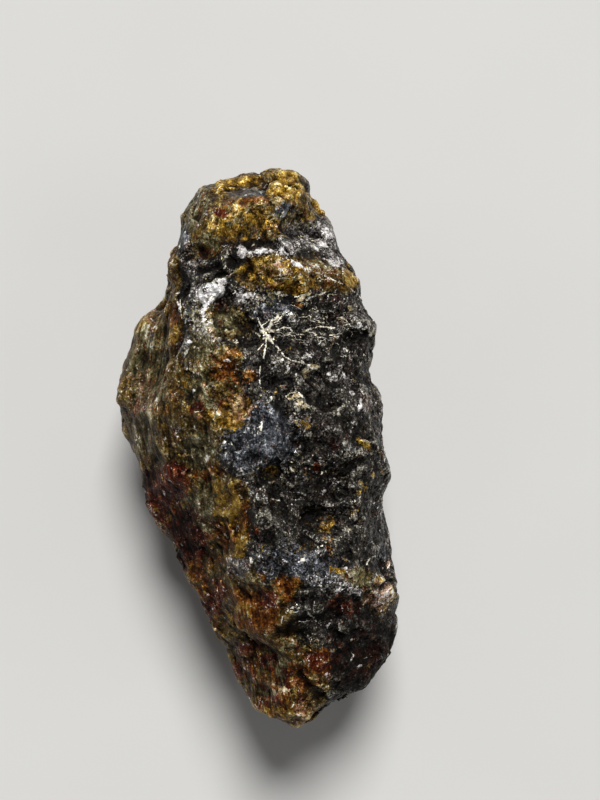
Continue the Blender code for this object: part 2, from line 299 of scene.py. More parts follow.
PATCHES["sage"] = {
    "head": (232, 228, 36, 12, 0.45),
    "head_left": (192, 206, 14, 24, 0.7),
    "head_low_right": (299, 222, 20, 8, 0.62, -10),
    "band_start": (206, 248, 12, 12, 0.6),
    "under_band": (262, 300, 20, 9, 0.42),
    "speckle_low": (197, 386, 16, 18, 0.55),
    # Pale sage where a glint shows: partly painted glint
    "olive_glint": (272, 475, 10, 9, 0.75),
    "speckle": (201, 332, 14, 28, 0.8),
    "flank_left": (143, 350, 6, 26, 0.78, -12),
    "flank_right": (166, 346, 4, 15, 0.5, -8),
    "flank_low": (144, 435, 12, 20, 0.45),
    "flank_high": (150, 378, 22, 50, 0.38),
    "gold_mid": (232, 412, 16, 14, 0.52),
    "bright": (199, 450, 19, 17, 0.95),
    "low": (198, 512, 16, 34, 0.72, -20),
    "right": (355, 577, 17, 8, 0.9),
    "foot": (276, 668, 13, 14, 0.92),
    "foot_low": (268, 690, 12, 13, 0.62),
    "centre": (295, 642, 12, 9, 0.45),
    "green": (276, 581, 7, 6, 0.5),
    "middle": (224, 366, 16, 18, 0.36),
    "pale": (212, 403, 5, 5, 0.7),
    "band": (318, 266, 24, 6, 0.4, -15),
    "mid_speckle": (224, 324, 16, 15, 0.62),
    "band_mid": (282, 276, 30, 10, 0.48, -8),
}
PATCHES["steel"] = {
    "main": (261, 439, 36, 33, 1.05),
    "bright": (248, 431, 11, 14, 1.3),
    "low": (238, 567, 13, 11, 0.9),
    "sweep": (304, 566, 50, 20, 0.6, -8),
    "edge": (384, 508, 4, 14, 0.9),
    "blue": (381, 550, 3, 7, 1.0),
    "lower": (322, 578, 8, 7, 0.7),
    "top": (275, 308, 26, 13, 0.6),
    "saddle": (250, 191, 20, 5, 0.75, 4),
    "head": (286, 211, 15, 8, 0.85),
    "head_edge": (185, 230, 5, 18, 0.8),
    "ridge": (186, 335, 5, 36, 0.65),
    "flank": (150, 445, 4, 12, 0.6),
    "flank_blue": (148, 350, 5, 30, 0.75, -8),
    "flank_inner": (166, 350, 5, 18, 0.7, -10),
    "flank_left": (140, 410, 9, 40, 0.38),
    "quartz_band": (308, 238, 26, 13, 0.7),
}
# Black ore and soot, partly painted shade and shadow: the band under the head's ledge, the pits, cracks and
# hollows, the lens's recess, and the lower left edge, the foot and the lower right, which turn away from
# the light, are darkened for their shade
PATCHES["soot"] = {
    "band": (234, 260, 14, 10, 1.3, 30),
    "band_left": (204, 270, 18, 7, 1.0, 18),
    "band_thin": (246, 243, 34, 5, 0.9),
    "band_right": (310, 252, 20, 4, 0.5, -5),
    "hollow": (310, 494, 26, 18, 0.65),
    "mid_right": (330, 430, 40, 36, 0.5),
    "foot_left": (248, 664, 16, 34, 0.42, -30),
    "lens": (303, 620, 19, 12, 1.15, 10),
    "right": (362, 652, 40, 46, 1.25),
    "under_sweep": (318, 600, 30, 4, 0.7),
    "left_edge": (142, 500, 10, 40, 0.9, -14),
    "flank": (150, 400, 30, 90, 0.24),
    "left_low": (178, 545, 24, 60, 0.72, -25),
    "pit": (249, 324, 5, 9, 0.7),
    "ridge": (187, 330, 4, 30, 0.45),
    "middle": (330, 440, 36, 26, 0.3),
    "left_foot": (198, 622, 9, 46, 0.6, -25),
    "foot_right": (345, 690, 30, 14, 0.6, 35),
    "chunk_crack": (384, 586, 12, 3, 0.9, 14),
    "chunk_side": (361, 604, 4, 14, 0.8, 22),
}
PATCHES["pink"] = {
    "right": (381, 600, 13, 11, 0.65),
    "right_high": (388, 565, 7, 4, 0.6),
    "foot": (302, 709, 12, 8, 0.4),
    "edge": (366, 400, 10, 12, 0.3),
    "flank": (142, 392, 12, 24, 0.35),
    "coral": (279, 225, 5, 3, 0.6),
    "gold_mid": (240, 410, 15, 13, 0.45),
    "band": (280, 272, 28, 10, 0.32, -8),
}
PATCHES["striated"] = {
    "flank_top": (152, 345, 28, 62, 1.0),
    "flank": (152, 430, 30, 60, 0.8),
    "left_low": (180, 520, 30, 60, 0.6, -20),
    "orange": (250, 612, 30, 28, 0.8),
    "foot": (270, 685, 34, 36, 1.0),
    "steel": (264, 436, 30, 32, 0.5),
    "dark_middle": (290, 520, 40, 50, 0.35),
    "middle": (216, 450, 40, 60, 0.5),
    "head": (228, 222, 44, 20, 0.6),
}
PATCHES["polished"] = {
    "steel": (266, 436, 30, 30, 1.0),
    "sweep": (304, 567, 52, 22, 1.0, -8),
    "low_left": (240, 566, 18, 14, 0.8),
    "lens": (303, 619, 18, 12, 0.7, 10),
    "saddle": (250, 190, 20, 6, 0.8, 4),
    "black": (262, 395, 20, 30, 0.5),
    "right": (330, 440, 30, 24, 0.4),
    "head": (230, 222, 42, 18, 0.8),
    "flank": (146, 385, 28, 92, 0.9),
}
# White specks where glints show: partly pale grains, partly painted glints
PATCHES["frost"] = {
    "head": (312, 236, 30, 18, 0.6, -14),
    "head_left": (286, 246, 12, 7, 0.58),
    "head_edge": (332, 258, 16, 7, 0.56, -30),
    "band": (262, 249, 22, 3, 0.6),
    "by_quartz": (246, 299, 24, 9, 0.52, 10),
    "left_of_quartz": (198, 300, 9, 20, 0.42),
    "left_of_band": (196, 264, 14, 13, 0.52),
    "speckle": (204, 326, 14, 20, 0.42),
    "left_edge": (190, 252, 6, 20, 0.42),
    "eye": (307, 356, 9, 4, 0.65, 12),
    "socket": (334, 374, 9, 10, 0.55),
    "trail": (344, 381, 12, 7, 0.5),
    "edge": (364, 398, 13, 14, 0.4, -20),
    "edge_high": (352, 312, 12, 12, 0.28),
    "yellow": (301, 420, 11, 10, 0.5),
    "yellow_trail": (309, 377, 13, 8, 0.56, -30),
    "pink_chip": (327, 518, 8, 10, 0.46),
    "sweep": (322, 580, 20, 7, 0.38, -15),
    "sweep_right": (352, 590, 14, 7, 0.54, -20),
    "steel_low": (238, 566, 13, 11, 0.44),
    "steel": (248, 430, 12, 12, 0.22),
    "right_chunk": (382, 594, 14, 20, 0.36),
    "edge_low": (384, 508, 5, 16, 0.42),
    "lens": (312, 618, 12, 7, 0.26, -30),
}
PATCHES["banded"] = {
    "upper_right": (312, 322, 60, 34, 0.9),
    "gold_band": (300, 272, 62, 16, 0.8, -9),
    "white_band": (310, 240, 30, 12, 0.9),
    "lens": (304, 618, 26, 14, 0.6, 10),
}
PATCHES["knobbly"] = {
    "crown": (286, 183, 28, 15, 1.0, -8),
    "quartz": (212, 290, 18, 9, 1.0, 36),
    "band_left": (252, 268, 16, 14, 0.6),
    "right": (352, 278, 10, 18, 0.5, 24),
}

# Where the solid's form is smoothed before it is worked, written as the patches are
SOFTENED = {
    "head_front": (246, 216, 44, 22, 1.0),
    "head_front_right": (298, 212, 28, 20, 1.0, 10),
    "head_low": (232, 232, 40, 14, 1.0),
    "shoulder": (168, 276, 18, 26, 1.0, 10),
    "foot_ledge": (260, 650, 58, 30, 1.0, 14),
    "flank_groove": (163, 335, 16, 42, 1.0, -8),
    "gold_band": (268, 272, 36, 17, 1.0, -10),
    "rim": (240, 184, 20, 8, 0.6, 8),
}
SOFT_ROUNDS = 280
LEAST_SOFTENED = 0.02

# Small rises and hollows of the show face, written as the patches are, their height in mm as the share
RELIEF = {
    "saddle": (250, 190, 18, 4, -0.6, 4),
    "crown_lump": (280, 188, 9, 8, 0.9),
    "crown_right": (303, 189, 7, 8, 0.9),
    "crown_top": (277, 174, 10, 5, 0.5),
    "crown_notch": (262, 187, 4, 8, -0.7, 20),
    "rim": (240, 182, 18, 3, 0.7, 10),
    "rim_pebble": (220, 190, 5, 5, 1.0),
    "black_band": (236, 259, 11, 7, -1.6, 30),
    "black_band_left": (203, 268, 15, 6, -1.3, 18),
    "band_crest": (262, 263, 22, 8, 0.5, -10),
    "band_crest_right": (318, 268, 26, 6, 0.7, -14),
    "quartz": (212, 291, 17, 8, 1.0, 34),
    "ring": (250, 375, 7, 7, 0.8),
    "socket": (332, 370, 8, 7, -1.0),
    "lens": (303, 619, 18, 12, 0.9, 10),
    "lens_edge": (301, 605, 24, 5, -0.4, 14),
    "lens_edge_low": (300, 635, 22, 5, -0.2, 6),
    "right_chunk": (381, 596, 13, 18, 1.4),
    "right_crack": (359, 604, 4, 15, -1.0, 22),
    "gold_chip": (365, 446, 9, 3, 0.7, -38),
    "shoulder_bump": (162, 270, 7, 12, -0.2),
    "head_right": (328, 236, 9, 26, 1.4, 26),
    "shoulder_notch": (167, 294, 8, 8, 1.2),
    "right_edge_high": (377, 330, 7, 13, -1.0),
    "right_edge": (369, 362, 7, 10, 1.4),
    "right_edge_low": (381, 408, 8, 26, 1.1),
    "chunk_crack": (384, 586, 12, 3, -0.9, 14),
    "foot_hollow": (265, 646, 28, 15, 1.1, 14),
    "low_left_hollow": (250, 587, 13, 11, 0.8),
}

# The same minerals on the back and the undersides, which no photo shows: wavelength in mm, where
# the noise starts to count and where it counts fully, and the share of the grains there
HIDDEN = {
    "gold": (13.0, 0.16, 0.42, 0.75),
    "rust": (12.0, 0.08, 0.38, 0.70),
    "wine": (15.0, 0.10, 0.40, 0.55),
    "sage": (11.0, 0.12, 0.40, 0.60),
    "steel": (16.0, 0.05, 0.35, 0.75),
    "soot": (18.0, 0.05, 0.40, 0.50),
    "quartz": (8.0, 0.44, 0.60, 0.72),
    "pink": (14.0, 0.28, 0.45, 0.40),
    "striated": (30.0, 0.00, 0.30, 0.80),
    "knobbly": (10.0, 0.20, 0.45, 0.60),
}

# Cream veins: the width in mm, then the photo pixels (across, down) that each runs through; the rim,
# ridge and lens lines are pale lines painted as edge highlights and glints
VEINS = {
    "stem": (0.51, (258, 320), (262.5, 328), (266, 334)),
    "heart": (1.06, (262, 331), (266, 335), (271, 340)),
    "branch_up": (0.66, (265, 331), (269, 328), (272, 321), (277, 318), (278, 315)),
    "spur_up": (0.31, (273, 323), (279, 320), (283, 313)),
    "spur_left": (0.28, (262, 325), (266, 323), (269, 320)),
    "twig_left": (0.34, (256, 333), (260, 336), (264, 335)),
    "twig_low": (0.28, (261, 341), (265, 338)),
    "branch_right": (0.41, (268, 332), (277, 330), (284, 327), (290, 328), (292, 331), (288, 335)),
    "branch_down": (0.38, (268, 338), (276, 346), (280, 350), (284, 356), (291, 360)),
    "branch_far": (0.28, (291, 360), (300, 362), (309, 365)),
    "root": (0.41, (266, 339), (266, 345), (264.5, 352), (263.5, 359)),
    "root_low": (0.31, (260.5, 366), (259.5, 376), (260, 385)),
    "root_side": (0.28, (263, 344), (258, 350)),
    "bar": (0.38, (303, 332), (308, 329), (314, 328), (320, 326), (327, 327), (336, 328)),
    "bar_low": (0.24, (294, 336), (299, 334), (305, 335)),
    "bar_thin": (0.21, (310, 339), (322, 337), (334, 338)),
    "dashes": (0.24, (310, 320), (316, 322), (325, 323)),
    "dash_far": (0.24, (338, 316), (346, 320), (352, 328)),
    "top_dash": (0.41, (295, 297), (305, 294)),
    "top_gold": (0.41, (306, 300), (311, 297), (317, 295), (326, 292)),
    # Pale lines along the right rim's edge: painted highlights
    "rim_highlight": (0.21, (316, 272), (325, 276), (343, 284)),
    "rim_highlight_low": (0.17, (350, 288), (360, 297), (366, 305)),
    "low_line": (0.34, (285, 397), (290, 393), (298, 392), (304, 398)),
    "blob_line": (0.55, (302, 361), (309, 367), (318, 370)),
    "flank_line": (0.28, (195, 412), (203, 411)),
    # A pale line along the ridge's edge: painted highlight
    "ridge_highlight_line": (0.28, (180, 299), (180, 309), (182, 318)),
    # The lens's bright rim and its dots: painted highlight and glints
    "lens_rim_highlight": (0.22, (281, 624), (283, 616), (289, 609), (297, 605)),
    "lens_glints": (0.28, (308, 613), (313, 617), (317, 623)),
    "right_curl": (0.31, (375, 556), (368, 560), (367, 565)),
}
VEIN_RISE = 0.14
VEIN_SIDES = (0.25, 0.75)
VEIN_DEPTH = 5.0

# The mesh along the veins: longest edge, rounds of division, and how near a vein they reach
VEIN_EDGE = 0.24
VEIN_ROUNDS = 2
VEIN_REACH = 0.05


def new_object(name, mesh):
    obj = bpy.data.objects.new(name, mesh)
    bpy.context.scene.collection.objects.link(obj)
    return obj


def with_modifier(obj, kind, **settings):
    """Replaces the object's mesh by what one modifier makes of it."""
    modifier = obj.modifiers.new(kind.lower(), kind)
    for name, value in settings.items():
        setattr(modifier, name, value)
    bpy.context.view_layer.update()
    evaluated = obj.evaluated_get(bpy.context.evaluated_depsgraph_get())
    made = bpy.data.meshes.new_from_object(evaluated)
    obj.modifiers.clear()
    obj.data = made


def read(mesh):
    """The mesh's vertices and their normals as arrays."""
    points = np.zeros(len(mesh.vertices) * 3)
    mesh.vertices.foreach_get("co", points)
    normals = np.zeros(len(mesh.vertices) * 3)
    mesh.vertex_normals.foreach_get("vector", normals)
    return points.reshape(-1, 3), normals.reshape(-1, 3)


def write(mesh, points):
    mesh.vertices.foreach_set("co", points.ravel())
    mesh.update()


def smooth_step(low, high, value):
    t = np.clip((value - low) / (high - low), 0, 1)
    return t * t * (3 - 2 * t)


def rolls(points, wavelength, seed):
    """Soft noise between about -1 and 1 at each point."""
    shift = np.array([13.7 * seed, 5.1 * seed, 29.3 - 7.7 * seed])
    return np.array([noise.noise(p) for p in (points / wavelength + shift).tolist()])


def sway(points, wavelength, seed):
    """A soft noise vector at each point."""
    shift = np.array([3.3 * seed, 41.0 - 9.1 * seed, 17.9 * seed])
    return np.array([noise.noise_vector(p)[:] for p in (points / wavelength + shift).tolist()])


def stirred(points, stirs):
    """The points moved about by soft noise, so that edges wander."""
    moved = points
    for amount, wavelength, seed in stirs:
        moved = moved + amount * sway(points, wavelength, seed)
    return moved


def broken(points, draw, spacing, lean, doming, hollow=False):
    """Height of a surface broken into leaning faces: domed grains, or blocks with sharp ridges."""
    count = min(int(STONE_AREA / spacing**2), len(points) // 2)
    seeds = points[sorted(draw.sample(range(len(points)), count))]
    tree = kdtree.KDTree(count)
    for i, seed in enumerate(seeds.tolist()):
        tree.insert(seed, i)
    tree.balance()
    leans = np.array([[draw.uniform(-lean, lean) for _ in range(3)] for _ in range(count)])
    lifts = np.array([draw.uniform(-LIFT, LIFT) * spacing for _ in range(count)])
    found = np.array([[hit[1] for hit in tree.find_n(p, NEAREST)] for p in points.tolist()])
    away = points[:, None, :] - seeds[found]
    planes = lifts[found] + (away * leans[found]).sum(2)
    bowl = (away**2).sum(2) / spacing * doming
    if hollow:
        return (planes + bowl).min(1)
    return (planes - bowl).max(1)


class Surface:
    """The frame's own solid, for finding what the camera sees at a pixel of the photo."""

    def __init__(self, mesh):
        points, _ = read(mesh)
        self.points = points / MM
        faces = [tuple(face.vertices) for face in mesh.polygons]
        self.tree = BVHTree.FromPolygons(self.points.tolist(), faces)

    def at(self, across, down):
        """The place seen at a photo pixel, or the one nearest to its ray, and how the face slopes."""
        eye = Vector(CAMERA_AT)
        ray = Vector((across - FRAME_WIDTH / 2, FRAME_HEIGHT / 2 - down, -FOCAL_PIXELS)).normalized()
        hit, normal = self.tree.ray_cast(eye, ray)[:2]
        if hit is None:
            level = self.points[:, 2].mean()
            hit, normal = self.tree.find_nearest(eye + ray * ((eye.z - level) / -ray.z))[:2]
        return np.array(hit), np.array(normal[:2]) / max(normal.z, STEEPEST)


def seen(points):
    """The photo pixel (across, down) that each point lies at."""
    drop = FOCAL_PIXELS / (CAMERA_AT[2] - points[:, 2])
    across = FRAME_WIDTH / 2 + (points[:, 0] - CAMERA_AT[0]) * drop
    return across, FRAME_HEIGHT / 2 - (points[:, 1] - CAMERA_AT[1]) * drop


def oval(points, pixels, surface, across, down, radius_a, radius_b, amount, turn=0):
    """The amount at an oval's middle, a third of it at its edge and nothing well outside."""
    middle, slope = surface.at(across, down)
    c, s = math.cos(math.radians(turn)), math.sin(math.radians(turn))
    right, low = pixels[0] - across, pixels[1] - down
    u = (right * c - low * s) / radius_a
    v = (right * s + low * c) / radius_b
    away = points - middle
    reach = REACH_OF_RADIUS * max(radius_a, radius_b) / PIXELS_PER_MM + REACH_ADDED
    w = (away[:, 2] + away[:, :2] @ slope) / reach
    return amount * np.exp(-((u * u + v * v + w * w) ** 2))


def patch_share(points, surface, patches):
    """Share of a mineral's grains at each point, from its patches."""
    pixels = seen(points)
    share = np.zeros(len(points))
    for patch in patches.values():
        share = np.maximum(share, oval(points, pixels, surface, *patch))
    return share


def vein_nearness(points, surface):
    """How far inside a cream vein each point is: 1 on its middle, 0 at its edge and beyond."""
    nearness = np.zeros(len(points))
    plan = np.stack(seen(points), 1)
    for width, *line in VEINS.values():
        levels = [surface.at(*pixel)[0][2] for pixel in line]
        reach = width * PIXELS_PER_MM
        for start, end, low, high in zip(line, line[1:], levels, levels[1:]):
            run = np.subtract(end, start)
            t = np.clip((plan - start) @ run / (run @ run), 0, 1)
            gap = np.linalg.norm(plan - start - t[:, None] * run, axis=1)
            level = np.abs(points[:, 2] - low - t * (high - low))
            nearness = np.maximum(nearness, (1 - gap / reach) * (level < VEIN_DEPTH))
    return np.clip(nearness, 0, 1)


def shares(points, normals, surface, names):
    """Share of each named mineral or trait at each point."""
    moved = stirred(points, PATCH_STIRS)
    hidden = smooth_step(*HIDDEN_FACING, normals[:, 2]) * smooth_step(*HIDDEN_HEIGHT, points[:, 2])
    made = {}
    for turn, name in enumerate(sorted(PATCHES)):
        if name not in names:
            continue
        share = patch_share(moved, surface, PATCHES[name])
        if name == "brassy":
            across, down = seen(moved)
            tall, size, seed = HIDDEN_EDGE_ROLL
            beyond = (across - np.interp(down, *zip(*BRASSY_EDGE))) / PIXELS_PER_MM
            beyond += hidden * tall * rolls(points, size, seed)
            beyond += sum(tall * rolls(points, size, seed) for tall, size, seed in EDGE_ROLLS)
            share = np.maximum(share, smooth_step(EDGE_SOFTNESS, -EDGE_SOFTNESS, beyond))
        if name in HIDDEN:
            wavelength, low, high, amount = HIDDEN[name]
            spread = smooth_step(low, high, rolls(points, wavelength, HIDDEN_SEED + turn))
            share = np.maximum(share, amount * spread * hidden)
        made[name] = share
    return made


def grain_line(points):
    """A coordinate across the stone's grain, constant along each stria."""
    bend = np.clip((BEND_FROM - points[:, 0]) / BEND_WIDTH, LEAST_BEND, 1.0)
    return points[:, 0] - GRAIN_BEND * (points[:, 1] - GRAIN_MIDDLE) ** 2 * bend


def striae(points, width, seed):
    """Long ridges and grooves that follow the stone's grain."""
    along, upward = STRIA_STRETCH
    stretched = np.stack([grain_line(points), points[:, 1] * along, points[:, 2] * upward], 1)
    return rolls(stretched, width, seed)


def work_surface(skin, surface):
    """Works rolls, blocks, facets, grains, striae and small relief into the smooth surface."""
    draw = random.Random(SEED)
    points, normals = read(skin.data)
    points = points / MM
    trait = shares(points, normals, surface, ("striated", "knobbly", "quartz", "polished"))
    rough = (1 - CALMED * trait["striated"]) * (1 - CALMED * trait["polished"])
    height = sum(tall * rolls(points, size, i) for i, (size, tall) in enumerate(ROLLS))
    height += broken(points, draw, *BLOCKS, hollow=True) * rough
    height += broken(points, draw, *FACETS) * rough
    height += broken(points, draw, *GRAINS) * rough
    height += trait["knobbly"] * broken(points, draw, *PEBBLES)
    tall, size, seed = KNOB_ROLL
    knobs = KNOB_RISE + tall * rolls(points, size, seed)
    height += smooth_step(*KNOBS_FROM, trait["quartz"]) * knobs
    stria = sum(weight * striae(points, width, seed) for width, weight, seed in STRIAE)
    height += STRIA_DEPTH * trait["striated"] * stria
    moved = stirred(points, RELIEF_STIRS)
    pixels = seen(moved)
    for rise in RELIEF.values():
        height += oval(moved, pixels, surface, *rise)
    height -= np.median(height)
    write(skin.data, (points + normals * height[:, None]) * MM)


def soften(skin, surface):
    """Smooths the solid's form where the real stone has no ledge."""
    points, _ = read(skin.data)
    share = patch_share(points / MM, surface, SOFTENED)
    group = skin.vertex_groups.new(name="softened")
    for index in np.flatnonzero(share > LEAST_SOFTENED).tolist():
        group.add([index], share[index], "REPLACE")
    with_modifier(skin, "SMOOTH", factor=SMOOTHING, iterations=SOFT_ROUNDS, vertex_group=group.name)
    skin.vertex_groups.clear()


def settle(skin, low, high):
    """Fits the worked surface into the solid's own box, with its lowest part flat on the floor."""
    points, _ = read(skin.data)
    now_low, now_high = points.min(0), points.max(0)
    for axis in (0, 1):
        scale = (high[axis] - low[axis]) / (now_high[axis] - now_low[axis])
        points[:, axis] = low[axis] + (points[:, axis] - now_low[axis]) * scale
    points[:, 2] = np.clip(points[:, 2], low[2], None)
    points[:, 2] *= min(1.0, high[2] / points[:, 2].max())
    write(skin.data, points)


def refine_veins(skin, surface):
    """Divides the mesh finely along the veins and raises them a little."""
    for _ in range(VEIN_ROUNDS):
        bm = bmesh.new()
        bm.from_mesh(skin.data)
        bm.verts.ensure_lookup_table()
        points = np.array([v.co[:] for v in bm.verts]) / MM
        near = vein_nearness(points, surface)
        edges = [
            e for e in bm.edges
            if max(near[v.index] for v in e.verts) > VEIN_REACH and e.calc_length() > VEIN_EDGE * MM
        ]
        bmesh.ops.subdivide_edges(bm, edges=edges, cuts=1)
        bmesh.ops.triangulate(bm, faces=[f for f in bm.faces if len(f.verts) > 3])
        bm.to_mesh(skin.data)
        bm.free()
    points, normals = read(skin.data)
    rise = VEIN_RISE * smooth_step(*VEIN_SIDES, vein_nearness(points / MM, surface))
    write(skin.data, points + normals * rise[:, None] * MM)


def clean(skin):
    """Removes faces without area."""
    bm = bmesh.new()
    bm.from_mesh(skin.data)
    bmesh.ops.remove_doubles(bm, verts=bm.verts, dist=CLOSEST * MM)
    bmesh.ops.dissolve_degenerate(bm, dist=CLOSEST * MM, edges=bm.edges)
    bmesh.ops.triangulate(bm, faces=[f for f in bm.faces if len(f.verts) > 3])
    bm.to_mesh(skin.data)
    bm.free()


def hollows(mesh):
    """How far each point lies below (above zero) or above the surface round it, in mm."""
    points, normals = read(mesh)
    ends = np.zeros(len(mesh.edges) * 2, int)
    mesh.edges.foreach_get("vertices", ends)
    ends = ends.reshape(-1, 2)
    count = np.bincount(ends.ravel(), minlength=len(points))[:, None]
    spread = points
    for _ in range(HOLLOW_ROUNDS):
        total = np.zeros_like(points)
        np.add.at(total, ends[:, 0], spread[ends[:, 1]])
        np.add.at(total, ends[:, 1], spread[ends[:, 0]])
        spread = (spread + total / count) / 2
    return ((spread - points) * normals).sum(1) / MM


def keep_share(mesh, name, values):
    attribute = mesh.attributes.new(name, "FLOAT", "POINT")
    attribute.data.foreach_set("value", values.astype(np.float32))


def make_skin(surface):
    """The stone's visible surface, as one mesh in place of the frame's plain solid."""
    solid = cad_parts[NODE]
    low, high = (np.array(corner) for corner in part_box(NODE))
    skin = new_object("specimen_surface", solid.data.copy())
    with_modifier(skin, "REMESH", mode="VOXEL", voxel_size=WORK_VOXEL * MM)
    with_modifier(skin, "SMOOTH", factor=SMOOTHING, iterations=SMOOTH_ROUNDS)
    soften(skin, surface)
    work_surface(skin, surface)
    triangles = sum(len(face.vertices) - 2 for face in skin.data.polygons)
    with_modifier(skin, "DECIMATE", ratio=KEPT_TRIANGLES / triangles)
    refine_veins(skin, surface)
    clean(skin)
    settle(skin, low, high)
    points, normals = read(skin.data)
    points = points / MM
    for name, share in shares(points, normals, surface, PATCHES).items():
        keep_share(skin.data, name, share)
    keep_share(skin.data, "vein", vein_nearness(points, surface))
    # How hollow each place is, which the material darkens as painted shade
    keep_share(skin.data, "hollow", hollows(skin.data))
    keep_share(skin.data, "grain_line", grain_line(points))
    skin.data.shade_flat()
    return skin


class Nodes:
    """Short names for the shader nodes of one material."""

    def __init__(self, material):
        material.use_nodes = True
        self.tree = material.node_tree
        self.surface = self.tree.nodes["Principled BSDF"]

    def add(self, kind, inputs=None, **settings):
        """A new node with its settings, and with its inputs by name or number."""
        node = self.tree.nodes.new(kind)
        for name, value in settings.items():
            setattr(node, name, value)
        for key, value in (inputs or {}).items():
            self.link(node.inputs[key], value)
        return node

    def link(self, socket, value):
        """Sets a socket to a number, a vector or a colour, or links it to another node's output."""
        if isinstance(value, bpy.types.NodeSocket):
            self.tree.links.new(value, socket)
        else:
            socket.default_value = value

    def math(self, operation, a, b=0.5, c=0.5):
        return self.add("ShaderNodeMath", {0: a, 1: b, 2: c}, operation=operation).outputs[0]

    def times(self, a, b):
        return self.math("MULTIPLY", a, b)

    def vector(self, operation, a, b=(0.0, 0.0, 0.0), c=(0.0, 0.0, 0.0)):
        return self.add("ShaderNodeVectorMath", {0: a, 1: b, 2: c}, operation=operation).outputs[0]

    def scaled(self, vector, scale):
        return self.vector("MULTIPLY", vector, (scale, scale, scale))

    def combined(self, value):
        """A vector with the same value three times."""
        return self.add("ShaderNodeCombineXYZ", {0: value, 1: value, 2: value}).outputs[0]

    def centred(self, colour):
        return self.vector("SUBTRACT", colour, (0.5, 0.5, 0.5))

    def total(self, start, *terms):
        """The start plus how far each term's value is from 0.5, times the term's weight."""
        for value, weight in terms:
            away = self.math("SUBTRACT", value, 0.5)
            start = self.math("MULTIPLY_ADD", away, weight, start)
        return start

    def share(self, name):
        return self.add("ShaderNodeAttribute", attribute_name=name).outputs["Fac"]

    def parts(self, colour):
        return self.add("ShaderNodeSeparateColor", {0: colour}).outputs

    def noise(self, where, scale, detail=3.0, roughness=0.55):
        inputs = {"Vector": where, "Scale": scale, "Detail": detail, "Roughness": roughness}
        return self.add("ShaderNodeTexNoise", inputs).outputs

    def cells(self, where, scale, feature="F1"):
        return self.add("ShaderNodeTexVoronoi", {"Vector": where, "Scale": scale}, feature=feature).outputs

    def step(self, value, low, high, to_low=0.0, to_high=1.0):
        inputs = {"Value": value, "From Min": low, "From Max": high, "To Min": to_low, "To Max": to_high}
        return self.add("ShaderNodeMapRange", inputs, interpolation_type="SMOOTHSTEP").outputs[0]

    def mix(self, share, low, high):
        return self.add("ShaderNodeMix", {0: share, 6: low, 7: high}, data_type="RGBA").outputs[2]

    def blend(self, share, low, high):
        return self.add("ShaderNodeMix", {0: share, 2: low, 3: high}, data_type="FLOAT").outputs[0]

    def ramp(self, value, *stops):
        """Colour along a list of (place, colour as hex) stops."""
        node = self.add("ShaderNodeValToRGB", {0: value})
        band = node.color_ramp
        while len(band.elements) < len(stops):
            band.elements.new(0.5)
        for element, (place, colour) in zip(band.elements, stops):
            element.position = place
            element.color = hex_colour(colour)
        return node.outputs[0]


def hex_colour(text):
    """A linear colour from the sRGB colour that its hex digits say."""
    parts = [int(text[i : i + 2], 16) / 255 for i in (0, 2, 4)]
    return tuple(p / 12.92 if p <= 0.04045 else ((p + 0.055) / 1.055) ** 2.4 for p in parts) + (1.0,)


# What each mineral's grains look like: their colours from the deepest to the brightest grain,
# how metallic and how rough they are
LOOKS = {
    "dark": (("040404", "161411", "2d2a26", "504c45", "bcb6a5"), 0.40, 0.34),
    "brassy": (("0b0702", "2e200a", "554018", "876c30", "d8c88c"), 0.50, 0.42),
    "steel": (("0a0a0c", "242528", "45474b", "74787f", "cfd3d8"), 0.55, 0.36),
    "sage": (("121006", "39341d", "645d40", "969070", "dedac4"), 0.12, 0.45),
    "rust": (("120501", "3d1c06", "693a0e", "946328", "d8b47a"), 0.30, 0.50),
    "wine": (("070201", "290b04", "4c1a0b", "743a1e", "ac7450"), 0.28, 0.44),
    "gold": (("181003", "5a4010", "906e26", "bf9c46", "ecdc98"), 0.60, 0.36),
    "pink": (("140a06", "543826", "8c684c", "c4a086", "f3ded0"), 0.30, 0.40),
    # Frost: white specks, partly pale grains and partly painted glints
    "frost": (("1a1817", "59534e", "938b85", "cfc9c5", "faf8f6"), 0.10, 0.36),
    "cream": (("54482f", "94835e", "bcaa82", "dccfae", "f6efda"), 0.0, 0.50),
    "quartz": (("5e5957", "b4aeaa", "dad6d2", "f2f0ee", "ffffff"), 0.0, 0.32),
    "vein": (("8d8064", "cabd9c", "e8dfc6", "f8f3e4", "ffffff"), 0.0, 0.45),
}
RAMP_PLACES = (0.0, 0.34, 0.58, 0.80, 1.0)

# How the minerals are laid over one another: the random number of the grain that decides, how
# much single grains and soft clouds join in, and the share found all over the brassy and dark sides
LAYERS = (
    ("brassy", 0, 0.30, 0.9, 0.0, 0.0),
    ("steel", 1, 0.60, 1.2, 0.15, 0.12),
    ("sage", 2, 0.70, 1.2, 0.27, 0.0),
    ("rust", 3, 0.60, 1.3, 0.17, 0.0),
    ("wine", 4, 0.65, 1.2, 0.14, 0.04),
    ("gold", 5, 0.65, 1.2, 0.09, 0.0),
    ("pink", 1, 0.70, 1.0, 0.08, 0.0),
    # Frost: white specks, partly pale grains and partly painted glints
    ("frost", 6, 0.80, 0.6, 0.0, 0.0),
    ("cream", 3, 0.45, 0.8, 0.0, 0.0),
    ("quartz", 4, 0.75, 1.8, -0.10, -0.10),
)
GRAIN_SIZE = 0.62
CLUSTER_SIZE = 1.9
FLECK_SIZE = 0.32
FIBRE_SIZE = 0.42
NEEDLE_SIZE = 0.36


# Where a layer's share of a grain goes from none to all of it, and how much brighter veins are
MASK = (0.44, 0.56)
VEIN_BRIGHTER = 0.15

# Where a raised vein counts, and how near its noise's middle a hair line starts and is whole
VEIN_FROM = (0.02, 0.12)
HAIR_WIDTH = (0.016, 0.004)

